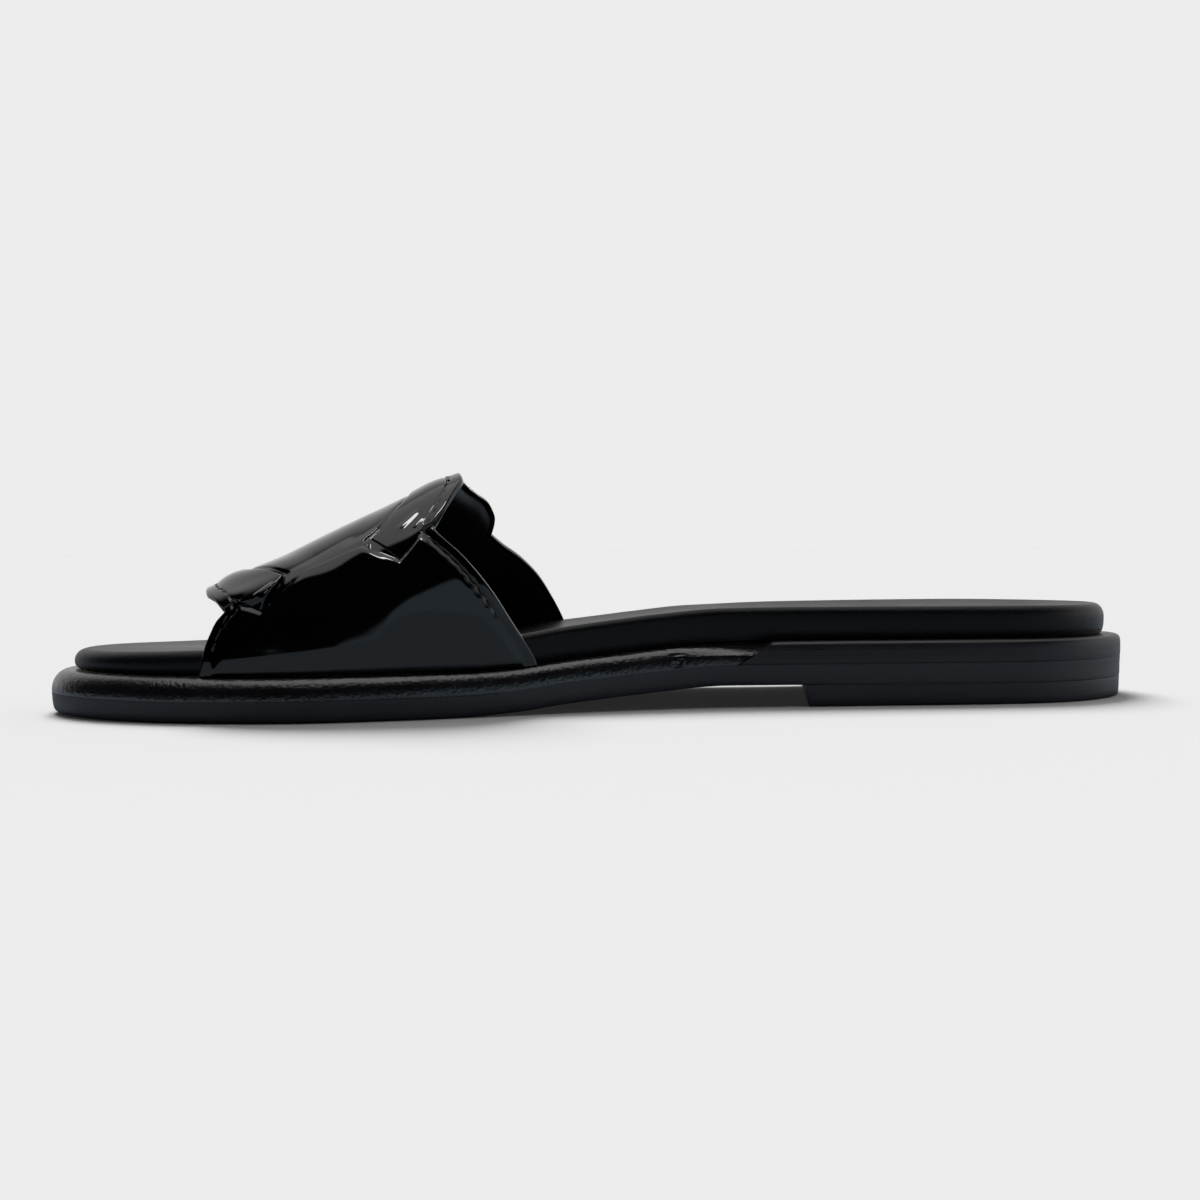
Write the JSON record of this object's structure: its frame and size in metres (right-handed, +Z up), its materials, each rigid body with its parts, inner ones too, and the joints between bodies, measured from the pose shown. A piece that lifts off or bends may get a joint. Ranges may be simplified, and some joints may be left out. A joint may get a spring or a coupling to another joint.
{
  "type": "slide sandal",
  "caption": "Flat backless slide sandal: stacked sole with rolled welt and low heel lift, cushioned footbed and a wide padded patent band over the forefoot.",
  "frame": {"origin": "on the floor, under the centre of the sole's bounding box", "axes": "-X towards the toe, -Y towards the inner side of the foot, +Z up"},
  "size_m": [0.255, 0.0926, 0.0541],
  "materials": {
    "patent": "black patent gloss",
    "cushion_leather": "black matte leather over foam",
    "welt_leather": "black satin grained leather",
    "midsole_board": "black satin edge",
    "sole_rubber": "black satin rubber"
  },
  "bodies": {
    "root": {"outsole": "sole_rubber", "heel_lift": "sole_rubber", "midsole": "midsole_board", "welt": "welt_leather", "footbed": "cushion_leather", "band": "patent", "front_pad": "patent", "rear_pad": "patent"}
  },
  "joints": []
}
